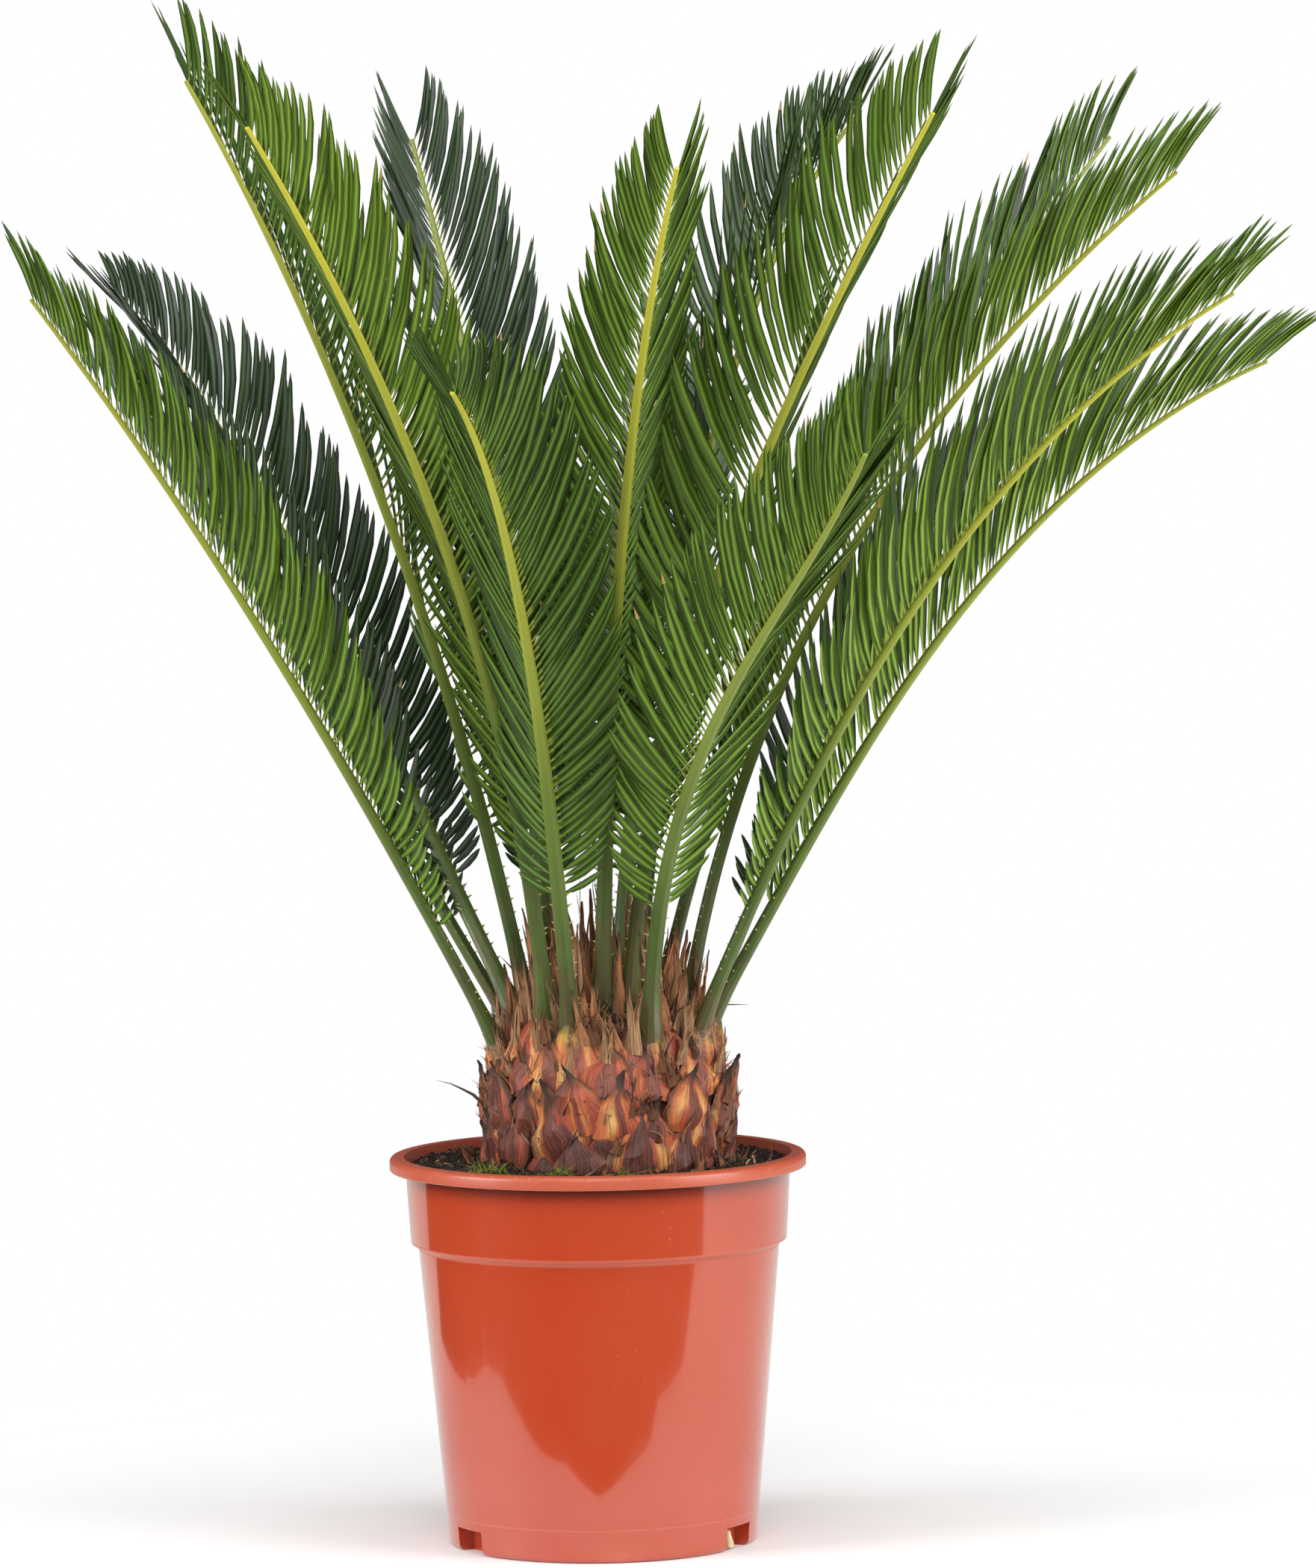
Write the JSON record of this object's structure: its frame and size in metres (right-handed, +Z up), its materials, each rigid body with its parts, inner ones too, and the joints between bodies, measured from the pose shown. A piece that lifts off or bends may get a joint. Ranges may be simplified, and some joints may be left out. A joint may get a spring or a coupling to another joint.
{
  "type": "sago palm in a nursery pot",
  "caption": "Potted sago palm: arching feathery fronds on a scaly trunk, rooted in soil in a round plastic nursery pot.",
  "frame": {"origin": "middle of the pot's flat underside", "axes": "+Z up along the pot's axis, -Y towards the front that the picture shows, +X to its right"},
  "size_m": [0.5868, 0.6639, 0.7062],
  "materials": {
    "pot": "glossy terracotta-coloured plastic with light scuffs",
    "soil": "dark crumbly potting mix",
    "trunk": "overlapping orange-brown leaf scales and papery bracts",
    "frond": "stiff glossy green leaflets on a yellow-green rib"
  },
  "bodies": {
    "root": {"pot": "pot", "soil": "soil", "trunk": "trunk", "frond_left_low": "frond", "frond_left_rear": "frond", "frond_left_tall": "frond", "frond_left_fore": "frond", "frond_fore_left": "frond", "frond_fore_upright": "frond", "frond_fore_right": "frond", "frond_right_tall": "frond", "frond_right_upper": "frond", "frond_right_fore": "frond", "frond_right_low": "frond", "frond_rear_left": "frond", "frond_rear_upright": "frond", "frond_rear_right": "frond", "frond_rear_arched_left": "frond", "frond_rear_arched_right": "frond", "frond_left_low_rear": "frond", "frond_right_low_rear": "frond"}
  },
  "joints": []
}
